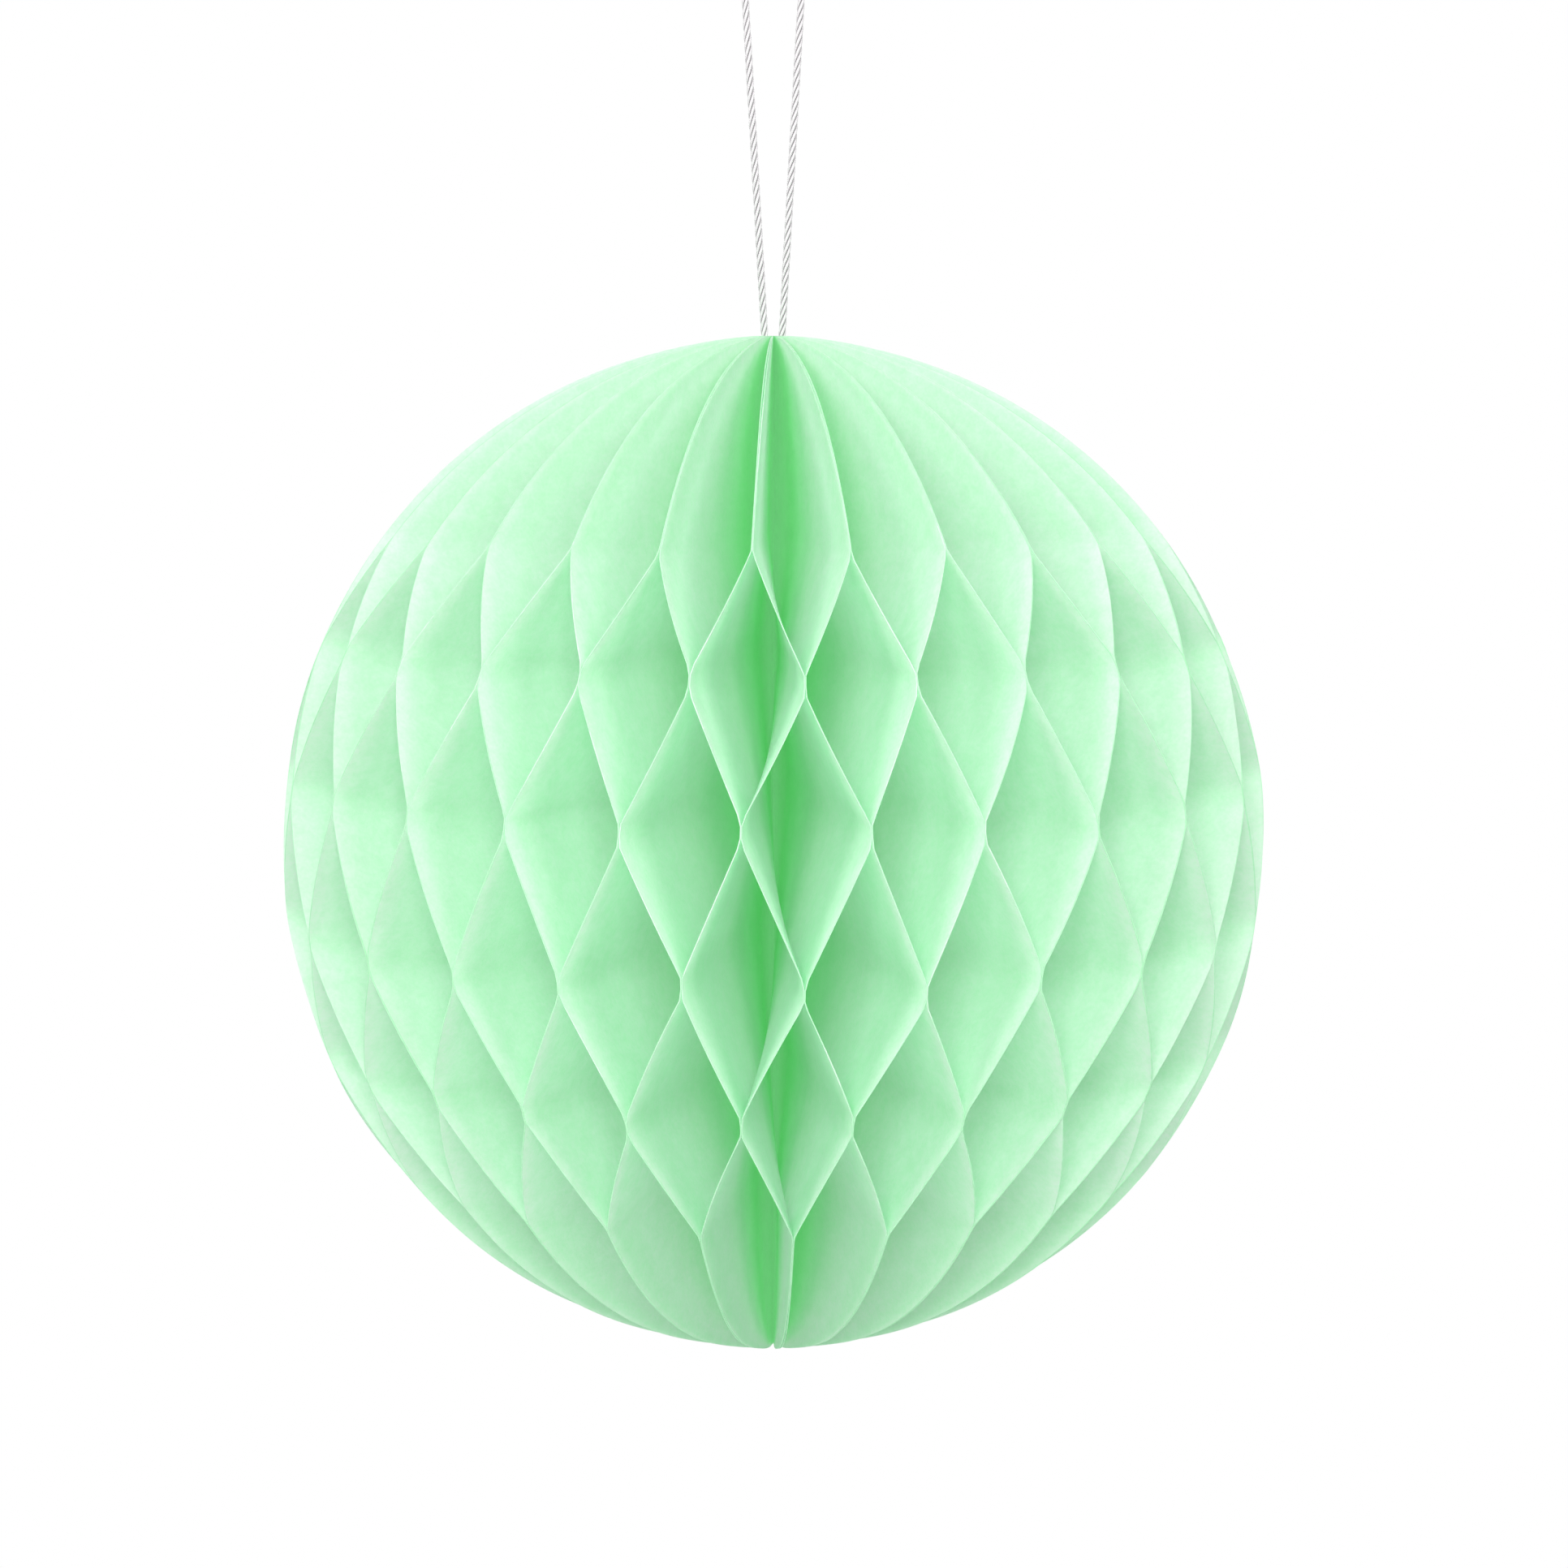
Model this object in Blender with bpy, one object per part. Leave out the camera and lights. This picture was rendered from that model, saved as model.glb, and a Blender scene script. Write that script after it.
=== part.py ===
"""A paper honeycomb ball on a hanging cord, opened out and held by its two card covers.

Units are metres and +Z is up. The origin is the point where a hook bears in the cord's loop.
Angles around the ball start at the seam, on +Y, and grow anticlockwise seen from above.
A node is a vertical line where two neighbouring sheets meet at a glue line. Node 0 is the fixed
cover, the last node is the swinging cover, and sheet N lies between node N - 1 and node N.
"""

import math

import bmesh
import bpy
from mathutils import Matrix, Vector

# the ball
HALF_HEIGHT = 0.050
HALF_WIDTH = 0.04875
BALL_DROP = 0.089  # from the loop's bearing point down to the ball's centre

# the paper
SHEET_COUNT = 50
PAPER_THICKNESS = 0.0001
SHEET_GAP = 0.00015
CORE_RADIUS = 0.0026  # the spine edges stand round this core
GLUE_ROWS = 6
ROW_PITCH = 0.013
NODE_SPACING_DEG = 360 / SHEET_COUNT
SIDE_SPREAD_DEG = 3.0  # the cells stand wider at the ball's sides than at its front and back
POLE_LATITUDES_DEG = (53, 66, 78)
TIP_WIDTH = 0.0003

# the card covers and what holds them together
CARD_THICKNESS = 0.0003
CARD_INSET = 0.0004
CARD_SPINE_CLEARANCE = 0.0065  # the cards start this far from the spine, so that the fold can close
CARD_ARC_STEPS = 32
STRIP_THICKNESS = 0.0001
STRIP_WIDTH = 0.006
STRIP_LENGTH = 0.024
STRIP_RADIUS = 0.029
STRIP_HEIGHT = 0.019
STRIP_CORNER = 0.0015
STRIP_CORNER_STEPS = 4
CARD_GAP = 0.0001

# the binding thread in the core
THREAD_RADIUS = 0.0003
THREAD_BEAD_RADIUS = 0.0008
THREAD_BOTTOM = -0.045
THREAD_TOP = 0.036
THREAD_SIDES = 8
BEAD_STEPS = 4

# the cord
CORD_DIAMETER = 0.0007
CORD_STEP = 0.0019
CORD_SMOOTHING = 24
KNOT_RADIUS = 0.0013
KNOT_HALF_HEIGHT = 0.0015
KNOT_CENTRE = -0.0479
KNOT_SEGMENTS = 12
KNOT_RINGS = 8
# one strand's route, from the knot up to the loop's crown, as distances across and up
CORD_ROUTE = (
    (0.00050, -0.0460),
    (0.00062, -0.0430),
    (0.00084, -0.0390),
    (0.00113, -0.0340),
    (0.00170, -0.0240),
    (0.00227, -0.0140),
    (0.00268, -0.0070),
    (0.00286, -0.0040),
    (0.00272, -0.0017),
    (0.00215, -0.0005),
    (0.00120, 0.00018),
    (0.0, 0.00035),
)

# how round pieces are closed and shaded
MERGE_DISTANCE = 0.000001
SHARP_ANGLE_DEG = 60

CARD_FACE = STRIP_THICKNESS / 2 + CARD_GAP + CARD_THICKNESS
JOINT_HALF = (PAPER_THICKNESS + SHEET_GAP) / 2
SEAM_SHIFT = CARD_FACE + SHEET_GAP + PAPER_THICKNESS / 2 - JOINT_HALF


def clear_scene():
    for obj in list(bpy.data.objects):
        bpy.data.objects.remove(obj, do_unlink=True)


def make_material(name, colour, roughness):
    material = bpy.data.materials.new(name)
    material.use_nodes = True
    shader = material.node_tree.nodes["Principled BSDF"]
    shader.inputs["Base Color"].default_value = (*colour, 1.0)
    shader.inputs["Roughness"].default_value = roughness
    shader.inputs["Metallic"].default_value = 0.0
    return material


def link_mesh(name, bm, material, parent, angle=0.0, smooth=False):
    """Turns a bmesh into an object on the ball's axis, turned by angle about it."""
    bmesh.ops.recalc_face_normals(bm, faces=bm.faces)
    mesh = bpy.data.meshes.new(name)
    bm.to_mesh(mesh)
    bm.free()
    mesh.materials.append(material)
    if smooth:
        mesh.shade_smooth()
        mesh.set_sharp_from_angle(angle=math.radians(SHARP_ANGLE_DEG))
    obj = bpy.data.objects.new(name, mesh)
    obj.parent = parent
    obj.rotation_euler.z = angle
    bpy.context.scene.collection.objects.link(obj)
    return obj


def add_ball_axis():
    """The empty that every piece of the ball hangs on, on the axis of both joints."""
    axis = bpy.data.objects.new("ball_axis", None)
    axis.location.z = -BALL_DROP
    bpy.context.scene.collection.objects.link(axis)
    return axis


def rim_radius(height):
    """Distance from the axis to the ball's surface at a height above the ball's centre."""
    return HALF_WIDTH * math.sqrt(1 - (height / HALF_HEIGHT) ** 2)


def node_angle(node):
    even = math.radians(NODE_SPACING_DEG) * node
    return even - math.radians(SIDE_SPREAD_DEG) * math.sin(2 * even)


def seam_shift(node):
    """How far a node's plane is pushed off the axis to leave room for the covers at the seam."""
    return SEAM_SHIFT * (1 - 2 * node / SHEET_COUNT)


def row_height(row):
    return (row - (GLUE_ROWS - 1) / 2) * ROW_PITCH


def sheet_levels(sheet):
    """(height, lean) from the bottom tip to the top one.

    Lean is 1 on the next node's side of the sheet and -1 on the last node's side. Rows take turns,
    and past the outer rows a sheet keeps its side.
    """
    leans = [1 if row % 2 == sheet % 2 else -1 for row in range(GLUE_ROWS)]
    levels = [(row_height(row), lean) for row, lean in enumerate(leans)]
    levels.insert(GLUE_ROWS // 2, (0.0, 0))
    tip_latitude = math.acos((CORE_RADIUS + TIP_WIDTH) / HALF_WIDTH)
    latitudes = [math.radians(latitude) for latitude in POLE_LATITUDES_DEG] + [tip_latitude]
    for latitude in latitudes:
        height = HALF_HEIGHT * math.sin(latitude)
        levels.insert(0, (-height, leans[0]))
        levels.append((height, leans[-1]))
    return levels


def line_beside(node, lean, sheet_angle, radius):
    """The point of a sheet at a radius, where it lies along a node, in the sheet's own frame."""
    turn = node_angle(node) - sheet_angle
    outward = Vector((-math.sin(turn), math.cos(turn), 0))
    onward = Vector((-math.cos(turn), -math.sin(turn), 0))
    return outward * radius + onward * (seam_shift(node) - lean * JOINT_HALF)


def sheet_point(sheet, sheet_angle, height, lean, radius):
    before = line_beside(sheet - 1, -1, sheet_angle, radius)
    after = line_beside(sheet, 1, sheet_angle, radius)
    point = before.lerp(after, (lean + 1) / 2)
    point.z = height
    return point


def sheet_angle_of(sheet):
    return (node_angle(sheet - 1) + node_angle(sheet)) / 2


def add_sheet(sheet, material, parent):
    """One half-disc, folded to and fro between its two nodes, as a thin closed solid."""
    bm = bmesh.new()
    angle = sheet_angle_of(sheet)
    sides = []
    for offset in (-PAPER_THICKNESS / 2, PAPER_THICKNESS / 2):
        rungs = []
        for height, lean in sheet_levels(sheet):
            spine = sheet_point(sheet, angle, height, lean, CORE_RADIUS)
            rim = sheet_point(sheet, angle, height, lean, rim_radius(height))
            rungs.append([bm.verts.new(point + Vector((offset, 0, 0))) for point in (spine, rim)])
        sides.append(rungs)
    for rungs in sides:
        for low, high in zip(rungs, rungs[1:]):
            bm.faces.new((low[0], low[1], high[1]))
            bm.faces.new((low[0], high[1], high[0]))
    left, right = sides
    for level in range(len(left) - 1):
        for edge in (0, 1):
            corners = (left[level], left[level + 1], right[level + 1], right[level])
            bm.faces.new([rung[edge] for rung in corners])
    for end in (0, -1):
        bm.faces.new((left[end][0], left[end][1], right[end][1], right[end][0]))
    name = f"paper_sheet_{sheet:02d}"
    return link_mesh(name, bm, material, parent, angle)


def add_plate(name, outline, start, end, material, parent):
    """A flat plate in the seam plane: outline is (radius, height) points, start and end its two faces."""
    bm = bmesh.new()
    corners = [bm.verts.new((start, radius, height)) for radius, height in outline]
    face = bm.faces.new(corners)
    extruded = bmesh.ops.extrude_face_region(bm, geom=[face])
    moved = [item for item in extruded["geom"] if isinstance(item, bmesh.types.BMVert)]
    bmesh.ops.translate(bm, vec=(end - start, 0, 0), verts=moved)
    return link_mesh(name, bm, material, parent)


def card_outline():
    """The half-ellipse of a cover, cut straight a little way off the spine."""
    width = HALF_WIDTH - CARD_INSET
    height = HALF_HEIGHT - CARD_INSET
    corner = math.acos(CARD_SPINE_CLEARANCE / width)
    steps = [corner * (2 * step / CARD_ARC_STEPS - 1) for step in range(CARD_ARC_STEPS + 1)]
    return [(width * math.cos(latitude), height * math.sin(latitude)) for latitude in steps]


def strip_outline(centre_height):
    """A rectangle with rounded corners."""
    outline = []
    across = STRIP_WIDTH / 2 - STRIP_CORNER
    up = STRIP_LENGTH / 2 - STRIP_CORNER
    for corner, (across_sign, up_sign) in enumerate(((1, 1), (-1, 1), (-1, -1), (1, -1))):
        for step in range(STRIP_CORNER_STEPS + 1):
            angle = math.radians(90) * (corner + step / STRIP_CORNER_STEPS)
            radius = STRIP_RADIUS + across_sign * across + STRIP_CORNER * math.cos(angle)
            height = centre_height + up_sign * up + STRIP_CORNER * math.sin(angle)
            outline.append((radius, height))
    return outline


def add_covers(material, parent):
    """The two cards back to back at the seam: the fixed one on sheet 1, the swinging one on sheet 50."""
    back = CARD_FACE - CARD_THICKNESS
    add_plate("cover_card_fixed", card_outline(), -CARD_FACE, -back, material, parent)
    add_plate("cover_card_swinging", card_outline(), back, CARD_FACE, material, parent)


def add_strips(material, parent):
    half = STRIP_THICKNESS / 2
    for name, height in (("upper", STRIP_HEIGHT), ("lower", -STRIP_HEIGHT)):
        add_plate(f"adhesive_strip_{name}", strip_outline(height), -half, half, material, parent)


def thread_profile():
    """(radius, height) points down one side of the thread, with a knotted bead at each end."""
    half_turn = math.pi - math.asin(THREAD_RADIUS / THREAD_BEAD_RADIUS)
    bead = [half_turn * step / BEAD_STEPS for step in range(BEAD_STEPS + 1)]
    radius = THREAD_BEAD_RADIUS
    top = [(radius * math.sin(angle), THREAD_TOP + radius * math.cos(angle)) for angle in bead]
    bottom = [(across, THREAD_TOP + THREAD_BOTTOM - height) for across, height in reversed(top)]
    return top + bottom


def add_binding_thread(material, parent):
    """The thread along the spine: its profile turned about the axis."""
    bm = bmesh.new()
    verts = [bm.verts.new((radius, 0, height)) for radius, height in thread_profile()]
    edges = [bm.edges.new(pair) for pair in zip(verts, verts[1:])]
    whole = 2 * math.pi
    bmesh.ops.spin(bm, geom=verts + edges, axis=(0, 0, 1), cent=(0, 0, 0), angle=whole, steps=THREAD_SIDES)
    bmesh.ops.remove_doubles(bm, verts=bm.verts, dist=MERGE_DISTANCE)
    return link_mesh("binding_thread", bm, material, parent, smooth=True)


def add_cord_knot(material, parent):
    bm = bmesh.new()
    bmesh.ops.create_uvsphere(
        bm, u_segments=KNOT_SEGMENTS, v_segments=KNOT_RINGS, radius=KNOT_RADIUS
    )
    stretch = Matrix.Diagonal((1, 1, KNOT_HALF_HEIGHT / KNOT_RADIUS, 1))
    place = Matrix.Translation((0, 0, KNOT_CENTRE + BALL_DROP))
    bmesh.ops.transform(bm, matrix=place @ stretch, verts=bm.verts)
    return link_mesh("cord_knot", bm, material, parent, smooth=True)


def smooth_curve(points):
    """Catmull-Rom points through a route."""
    ends = [points[0] * 2 - points[1], *points, points[-1] * 2 - points[-2]]
    curve = []
    for before, start, end, after in zip(ends, ends[1:], ends[2:], ends[3:]):
        for step in range(CORD_SMOOTHING):
            t = step / CORD_SMOOTHING
            cubic = (after - before + (start - end) * 3) * t**3
            square = (before * 2 - start * 5 + end * 4 - after) * t**2
            curve.append(start + (cubic + square + (end - before) * t) / 2)
    return [*curve, points[-1]]


def evenly_spaced(curve, spacing):
    """Points at equal distances along a curve, ends included."""
    lengths = [0.0]
    for start, end in zip(curve, curve[1:]):
        lengths.append(lengths[-1] + (end - start).length)
    count = round(lengths[-1] / spacing)
    placed = []
    segment = 0
    for index in range(count + 1):
        distance = lengths[-1] * index / count
        while segment < len(curve) - 2 and lengths[segment + 1] < distance:
            segment += 1
        share = (distance - lengths[segment]) / (lengths[segment + 1] - lengths[segment])
        placed.append(curve[segment].lerp(curve[segment + 1], share))
    return placed


def add_hanging_cord(material):
    """Both strands and the loop, as one tube from the knot and back to it."""
    rising = [Vector((across, 0, up)) for across, up in CORD_ROUTE]
    falling = [Vector((-across, 0, up)) for across, up in reversed(CORD_ROUTE[:-1])]
    points = evenly_spaced(smooth_curve(rising + falling), CORD_STEP)
    curve = bpy.data.curves.new("hanging_cord", "CURVE")
    curve.dimensions = "3D"
    curve.bevel_depth = CORD_DIAMETER / 2
    curve.bevel_resolution = 2
    curve.use_fill_caps = True
    spline = curve.splines.new("POLY")
    spline.points.add(len(points) - 1)
    for spline_point, place in zip(spline.points, points):
        spline_point.co = (*place, 1.0)
    curve.materials.append(material)
    cord = bpy.data.objects.new("hanging_cord", curve)
    bpy.context.scene.collection.objects.link(cord)
    return cord


def build():
    clear_scene()
    paper = make_material("mint_paper", (0.55, 0.93, 0.62), 0.85)
    card = make_material("cover_card", (0.62, 0.92, 0.68), 0.8)
    adhesive = make_material("adhesive_film", (0.9, 0.9, 0.86), 0.4)
    thread = make_material("binding_thread", (0.45, 0.86, 0.55), 0.9)
    cotton = make_material("white_cord", (0.92, 0.92, 0.92), 0.85)
    ball_axis = add_ball_axis()
    for sheet in range(1, SHEET_COUNT + 1):
        add_sheet(sheet, paper, ball_axis)
    add_covers(card, ball_axis)
    add_strips(adhesive, ball_axis)
    add_binding_thread(thread, ball_axis)
    add_cord_knot(cotton, ball_axis)
    add_hanging_cord(cotton)


build()
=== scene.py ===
"""Looks for the paper honeycomb ball: fine paper sheets, covers, a twisted cord, and a pale studio."""

import math

import bmesh
import bpy
import numpy as np
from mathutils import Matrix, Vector


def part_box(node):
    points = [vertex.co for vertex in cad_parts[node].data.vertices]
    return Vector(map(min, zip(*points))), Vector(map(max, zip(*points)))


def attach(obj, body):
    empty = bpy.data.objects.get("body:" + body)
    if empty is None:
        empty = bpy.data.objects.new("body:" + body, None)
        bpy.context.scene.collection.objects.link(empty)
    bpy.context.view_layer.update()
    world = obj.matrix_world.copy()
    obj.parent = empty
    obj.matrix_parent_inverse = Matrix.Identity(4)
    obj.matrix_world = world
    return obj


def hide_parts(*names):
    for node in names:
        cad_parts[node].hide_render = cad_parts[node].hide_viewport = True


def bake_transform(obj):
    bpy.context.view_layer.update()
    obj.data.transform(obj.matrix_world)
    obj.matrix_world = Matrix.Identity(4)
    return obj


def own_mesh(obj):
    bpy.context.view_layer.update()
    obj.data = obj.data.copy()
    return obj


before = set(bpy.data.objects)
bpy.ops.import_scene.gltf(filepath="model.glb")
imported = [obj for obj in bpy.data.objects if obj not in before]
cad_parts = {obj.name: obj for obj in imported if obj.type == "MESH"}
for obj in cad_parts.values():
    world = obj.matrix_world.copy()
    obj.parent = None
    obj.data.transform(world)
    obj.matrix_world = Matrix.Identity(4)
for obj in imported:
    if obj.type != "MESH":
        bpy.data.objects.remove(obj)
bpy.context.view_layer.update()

MM = 0.001

# the ball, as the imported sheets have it
SHEET_NAMES = sorted(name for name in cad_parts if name.startswith("paper_sheet_"))
SHEET_COUNT = len(SHEET_NAMES)
SHEET_LOW, SHEET_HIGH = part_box(SHEET_NAMES[0])
CENTRE_Z = (SHEET_LOW.z + SHEET_HIGH.z) / 2
CENTRE = Vector((0, 0, CENTRE_Z))
HALF_HEIGHT = 50 * MM
HALF_WIDTH = 48.75 * MM
# the sides' sheets stand up to this much wider than evenly spaced, and the covers hold the seam's apart
SIDE_SPREAD_DEG = 3.0
SEAM_SHIFT = 0.525 * MM

# how a sheet is glued and bent: it runs straight between the flats that are glued to its neighbours
ROW_HEIGHTS = tuple(height * MM for height in (-32.2, -19.8, -7.0, 6.75, 19.95, 31.8))
CONTACT_HALF = 0.9 * MM
BEND_HALF = 0.4 * MM
BEND_SAMPLES = 9
POLE_OPENING = 0.06
POLE_OPENING_FROM = 36 * MM

# how thick a sheet is, and how close its inner edge comes to the axis, with room for the cord at the top
PAPER_THICKNESS = 0.08 * MM
SPINE_THICKNESS = 0.03 * MM
FULL_THICKNESS_FROM = 6 * MM
PAIR_GAP = 0.02 * MM
SPINE_RADIUS = 0.42 * MM
CORD_HOLE_ACROSS = 1.35 * MM
CORD_HOLE_DEEP = 0.5 * MM
CORD_HOLE_BOTTOM = 35.5 * MM
CORD_HOLE_TOP = 38.5 * MM

# near the axis the sheets are drawn out a little past the ball's bottom and top
BOTTOM_RISE = 1.2 * MM
TOP_RISE = 0.3 * MM
POLE_RADIUS = 9 * MM
POLE_SHARPNESS = 20

# how finely a sheet is divided, upwards and inwards from its rim
LEVELS = 150
TIP_WIDTH = 0.3 * MM
RIM_STEPS_MM = (0, 0.4, 0.9, 1.6, 2.6, 4.0, 6.0, 9.0, 13.0, 18.0, 25.0, 34.0)
SHEET_SHARP_DEG = 50

# hand-made unevenness: seeded departures, and a slight twist of the front from bottom to top
ROW_SCATTER = 0.22 * MM
ANGLE_SCATTER_DEG = 0.22
RIM_SCATTER = 0.05 * MM
RIM_DRIFT_COUNT = 12
DRIFT_HEIGHTS = (-HALF_HEIGHT, *ROW_HEIGHTS, HALF_HEIGHT)
TWIST_DEG = (-0.3, -0.6, -0.5, -0.1, 0.2, 0.3, 0.7, 0.7)

# the cord: one strand's route from the knot up to the crown, as distances across and up in metres
CORD_ROUTE = (
    (0.00050, -0.0460),
    (0.00062, -0.0430),
    (0.00084, -0.0390),
    (0.00113, -0.0340),
    (0.00170, -0.0240),
    (0.00227, -0.0140),
    (0.00268, -0.0070),
    (0.00286, -0.0040),
    (0.00272, -0.0017),
    (0.00215, -0.0005),
    (0.00120, 0.00018),
    (0.0, 0.00035),
)
CORD_SMOOTHING = 24
CORD_STEP = 0.125 * MM
CORD_DIAMETER = 0.7 * MM
CORD_TWIST = dict(diameter=CORD_DIAMETER, pitch=4.2 * MM, plies=4, sides_count=10)
# plies are pressed into one another by this much
PLY_OVERLAP = 1.08
# a direction that no cord or thread sets out along
ASIDE = (0.3, 1, 0.2)

# the knot under the crown and the thread through the spine
KNOT_CENTRE_Z = -47.9 * MM
KNOT_LOOP = 0.32 * MM
KNOT_RISE = 0.95 * MM
KNOT_FLATNESS = 0.12
KNOT_STEPS = 90
THREAD_TWIST = dict(diameter=0.6 * MM, pitch=2.4 * MM, plies=3, sides_count=8)
THREAD_BOTTOM = -45 * MM
THREAD_TOP = 36 * MM

# the card covers at the seam
CARD_THICKNESS = 0.3 * MM
CARD_FACE = 0.45 * MM
CARD_INSET = 0.4 * MM
CARD_START = 6.5 * MM
CARD_ARC_STEPS = 120
CARD_BEVEL = 0.05 * MM
CARD_BEVEL_SEGMENTS = 3
ROUND_PROFILE = 0.5
CARD_SHARP_DEG = 40

# the paper's cut edge
EDGE_COLOUR = (0.76, 0.965, 0.81)
EDGE_WIDTH_MM = 0.06
# its cloudy grain: blobs to the millimetre, the summed noise that it spans, and how it darkens the paper
FINE_GRAIN = 2.6
FINE_GRAIN_ROUGHNESS = 0.7
FINE_GRAIN_WEIGHT = 1.6
BROAD_GRAIN = 0.7
GRAIN_DETAIL = 3.0
GRAIN_RANGE = (0.95, 1.65)
GRAIN_TINT = (0.88, 0.972, 0.90)
GRAIN_BUMP = 0.25
GRAIN_HEIGHT = 0.05 * MM
SHEET_GRAIN_SPACING = 500.0
# inward from the rim in millimetres: the paper's colour, with painted light at the rim and painted shade
# deeper in, and a painted glow that stands in for the light passed on from its neighbours
PAPER_PAINTED_LIGHT_STOPS = (
    (0, (0.94, 0.988, 0.955), (0.0, 0.045, 0.012)),
    (0.8, (0.93, 0.985, 0.947), (0.0, 0.045, 0.012)),
    (2.5, (0.865, 0.968, 0.9), (0.0, 0.04, 0.01)),
    (7, (0.867, 0.962, 0.905), (0.01, 0.028, 0.013)),
    (11, (0.88, 0.961, 0.916), (0.03, 0.032, 0.03)),
    (16, (0.87, 0.953, 0.902), (0.045, 0.04, 0.045)),
    (22, (0.866, 0.953, 0.897), (0.05, 0.05, 0.05)),
    (28, (0.815, 0.942, 0.85), (0.04, 0.052, 0.045)),
    (34, (0.835, 0.96, 0.868), (0.03, 0.053, 0.035)),
    (40, (0.74, 0.943, 0.79), (0.03, 0.06, 0.035)),
    (48, (0.578, 0.89, 0.648), (0.09, 0.11, 0.1)),
)
PAPER_REACH_MM = PAPER_PAINTED_LIGHT_STOPS[-1][0]
# how much deeper the painted shade and glow reach towards the poles
POLE_SHADE_DEEPENING = 0.35
PAPER_ROUGHNESS = 0.9
PAPER_SPECULAR = 0.15
TRANSLUCENCY = 0.4

# the cord's colour with painted shade: its own pale tone on its crests (0), painted grey down into the
# grooves between its plies, tinted faintly pink against the green light the ball casts on it; and its
# fibres
CORD_GROOVE_SHADE_TONES = ((0.0, (0.80, 0.77, 0.79)), (0.1, (0.72, 0.69, 0.71)), (0.26, (0.33, 0.315, 0.325)))
CORD_ROUGHNESS = 0.85
CORD_SPECULAR = 0.2
FIBRE_GRAIN = 6000
FIBRE_CONTRAST = 0.12
FIBRE_DARKEST = 0.94
FIBRE_BUMP = 0.4
FIBRE_HEIGHT = 0.02 * MM

# plain materials: colour, roughness, blobs of mottle to the metre, and the mottle's height
COVER_CARD = ((0.62, 0.92, 0.68), 0.8, 2500, 0.02 * MM)
MINT_THREAD = ((0.45, 0.86, 0.55), 0.9, 4000, 0.02 * MM)
ADHESIVE_FILM = ((0.9, 0.9, 0.86), 0.35, 900, 0.01 * MM)
MOTTLE_DETAIL = 4.0
MOTTLE_DARKEST = 0.9
MOTTLE_BUMP = 0.4

# the camera
CAMERA_DISTANCE = 363.6 * MM
CAMERA_AZIMUTH_DEG = 3.32
CAMERA_ELEVATION_DEG = 7.54
CAMERA_LENS_MM = 83.45
CAMERA_SENSOR_MM = 36
CAMERA_CLIP_START = 10 * MM
CAMERA_AIM_RIGHT = 1.05 * MM
CAMERA_AIM_UP = 5.82 * MM

# the studio: soft boxes as name, offset from the ball's centre and power
LIGHTS = (
    ("front", (0.0, -0.8, 0.3), 4.2),
    ("upper_left", (-0.5, -0.4, 0.5), 2.4),
    ("upper_right", (0.5, -0.4, 0.5), 2.2),
    ("low_left", (-0.6, -0.6, 0.0), 0.5),
    ("low_right", (0.6, -0.6, 0.0), 0.3),
    ("back", (0.0, 0.8, 0.3), 1.2),
)
LIGHT_SIZE = 0.4
WHITE = (1, 1, 1, 1)
AMBIENT = 0.25
FLOOR_RADIUS = 0.65
FLOOR_FADE_START = 0.4
FLOOR_DROP = 0.35
FLOOR_SIDES = 96
FLOOR_COLOUR = (0.9, 0.9, 0.9, 1)
FLOOR_ROUGHNESS = 0.9
# light has to pass through many sheets before it dies away
MOST_BOUNCES = 32
MOST_SHEETS_PASSED = 24

random = np.random.default_rng(50)


# ---------------------------------------------------------------- helpers


def link_object(name, data):
    """A new object in the scene that holds a mesh, a light or a camera."""
    obj = bpy.data.objects.new(name, data)
    bpy.context.scene.collection.objects.link(obj)
    return obj


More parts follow.
